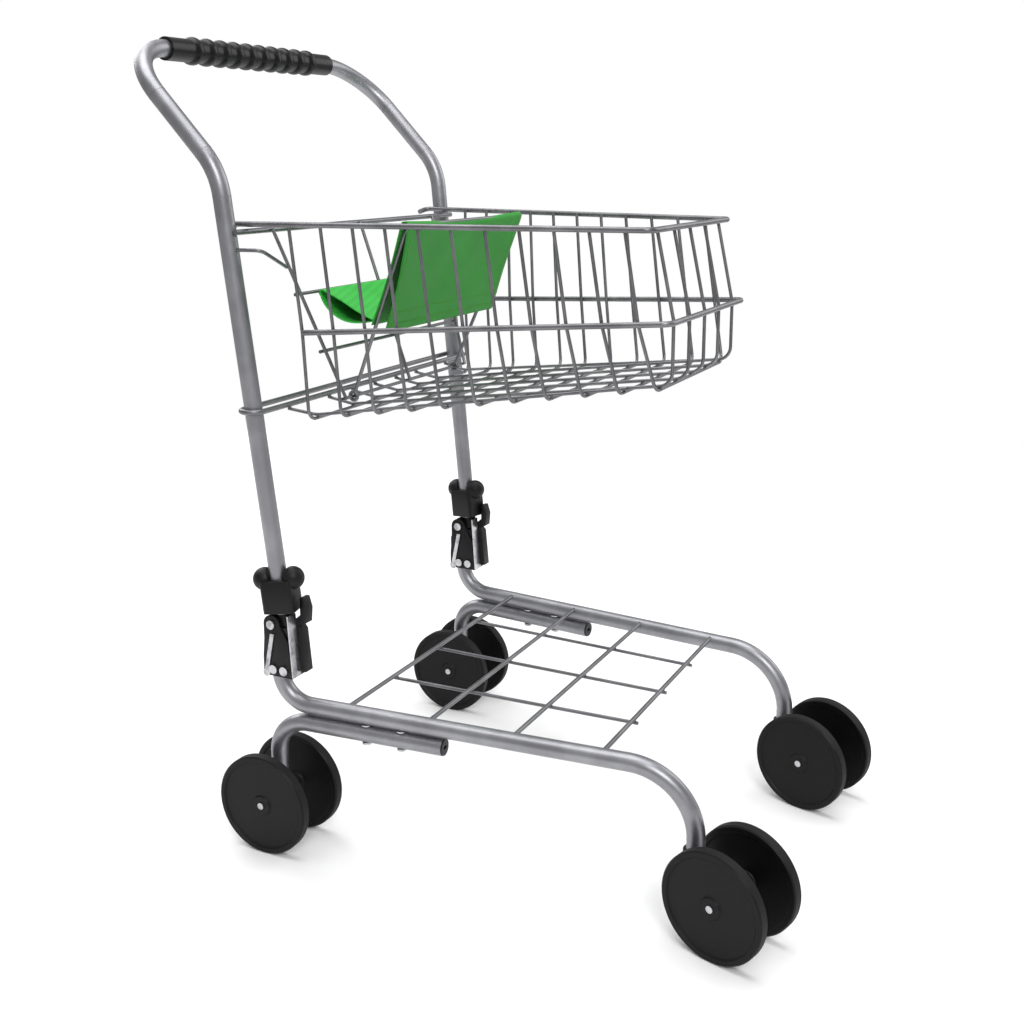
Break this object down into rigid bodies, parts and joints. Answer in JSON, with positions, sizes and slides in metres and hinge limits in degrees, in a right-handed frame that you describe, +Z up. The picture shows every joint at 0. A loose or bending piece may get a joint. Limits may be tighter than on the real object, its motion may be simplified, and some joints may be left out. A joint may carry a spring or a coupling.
{
  "type": "shopping trolley on wheels",
  "caption": "Folding doll's shopping trolley: bent steel tube frame on twin wheels, wire basket, lower wire rack, cloth child seat and beaded push grip.",
  "frame": {"origin": "middle of the box that holds the whole object, on the floor", "axes": "+Z up, the front (casters) towards -Y, the trolley's right-hand side towards -X"},
  "size_m": [0.3276, 0.5032, 0.5923],
  "materials": {
    "tube_silver": "satin metallic paint",
    "wire_silver": "satin metallic paint over drawn wire",
    "bright_steel": "zinc plated",
    "black_plastic": "fine moulded",
    "grip_plastic": "satin, soft",
    "wheel_plastic": "satin moulded, worn tread",
    "backrest_cloth": "plain woven polyester, top stitched",
    "seat_cloth": "dimpled woven polyester"
  },
  "bodies": {
    "base": {"deck_tube_right": "tube_silver", "deck_tube_left": "tube_silver", "leg_tube_right": "tube_silver", "leg_tube_left": "tube_silver", "leg_end_plugs": "black_plastic", "leg_screws": "bright_steel", "leg_spacers": "bright_steel", "rack_cross_wires": "wire_silver", "rack_long_wires": "wire_silver", "lock_plates_right": "black_plastic", "lock_plates_left": "black_plastic", "lock_strap_right": "bright_steel", "lock_strap_left": "bright_steel", "lock_spring_right": "bright_steel", "lock_spring_left": "bright_steel", "pivot_bolt_right": "bright_steel", "pivot_bolt_left": "bright_steel", "lock_screws_right": "bright_steel", "lock_screws_left": "bright_steel", "stem_bush_right": "black_plastic", "stem_bush_left": "black_plastic"},
    "upper_frame": {"handle_tube": "tube_silver", "handle_grip": "grip_plastic", "hinge_knuckle_right": "black_plastic", "hinge_knuckle_left": "black_plastic", "basket_top_rim": "wire_silver", "basket_waist_rim": "wire_silver", "basket_side_wires_right": "wire_silver", "basket_side_wires_left": "wire_silver", "basket_floor_wires": "wire_silver", "basket_long_wires": "wire_silver", "basket_edge_wires": "wire_silver", "basket_rod": "wire_silver", "basket_loop": "wire_silver", "gate_uprights": "wire_silver", "gate_cross_wires": "wire_silver", "gate_hooks": "wire_silver", "seat_sheet": "seat_cloth"},
    "seat_back": {"seat_frame": "wire_silver", "seat_cover": "backrest_cloth"},
    "sleeve_right": {"lock_sleeve_right": "black_plastic"},
    "rear_wheel_right": {"rear_axle_right": "bright_steel", "rear_wheels_right": "wheel_plastic"},
    "caster_right": {"caster_fork_right": "black_plastic", "swivel_pin_right": "bright_steel"},
    "caster_wheel_right": {"caster_axle_right": "bright_steel", "caster_wheels_right": "wheel_plastic"},
    "sleeve_left": {"lock_sleeve_left": "black_plastic"},
    "rear_wheel_left": {"rear_axle_left": "bright_steel", "rear_wheels_left": "wheel_plastic"},
    "caster_left": {"caster_fork_left": "black_plastic", "swivel_pin_left": "bright_steel"},
    "caster_wheel_left": {"caster_axle_left": "bright_steel", "caster_wheels_left": "wheel_plastic"}
  },
  "joints": [
    {"name": "frame_fold", "type": "hinge", "parent": "base", "child": "upper_frame", "pos_m": [0, 0.13148, 0.1746], "axis": [1, 0, 0], "range_deg": [-90, 0]},
    {"name": "seat_fold", "type": "hinge", "parent": "upper_frame", "child": "seat_back", "pos_m": [0, 0.10297, 0.33313], "axis": [1, 0, 0], "range_deg": [-30, 0], "deforming": ["seat_sheet"]},
    {"name": "sleeve_slide_right", "type": "slide", "parent": "upper_frame", "child": "sleeve_right", "axis": [-0.0247, 0.1045, 0.9942], "range_m": [0, 0.014]},
    {"name": "sleeve_slide_left", "type": "slide", "parent": "upper_frame", "child": "sleeve_left", "axis": [0.0247, 0.1045, 0.9942], "range_m": [0, 0.014]},
    {"name": "rear_wheel_spin_right", "type": "hinge", "parent": "base", "child": "rear_wheel_right", "pos_m": [-0.138, 0.13548, 0.038], "axis": [1, 0, 0], "continuous": true},
    {"name": "rear_wheel_spin_left", "type": "hinge", "parent": "base", "child": "rear_wheel_left", "pos_m": [0.138, 0.13548, 0.038], "axis": [1, 0, 0], "continuous": true},
    {"name": "caster_swivel_right", "type": "hinge", "parent": "base", "child": "caster_right", "pos_m": [-0.1095, -0.18152, 0.05], "axis": [0, 0, 1], "continuous": true},
    {"name": "caster_spin_right", "type": "hinge", "parent": "caster_right", "child": "caster_wheel_right", "pos_m": [-0.11675, -0.20856, 0.038], "axis": [0.9659, -0.2588, 0], "continuous": true},
    {"name": "caster_swivel_left", "type": "hinge", "parent": "base", "child": "caster_left", "pos_m": [0.1095, -0.18152, 0.05], "axis": [0, 0, 1], "continuous": true},
    {"name": "caster_spin_left", "type": "hinge", "parent": "caster_left", "child": "caster_wheel_left", "pos_m": [0.10225, -0.20856, 0.038], "axis": [0.9659, -0.2588, 0], "continuous": true}
  ]
}
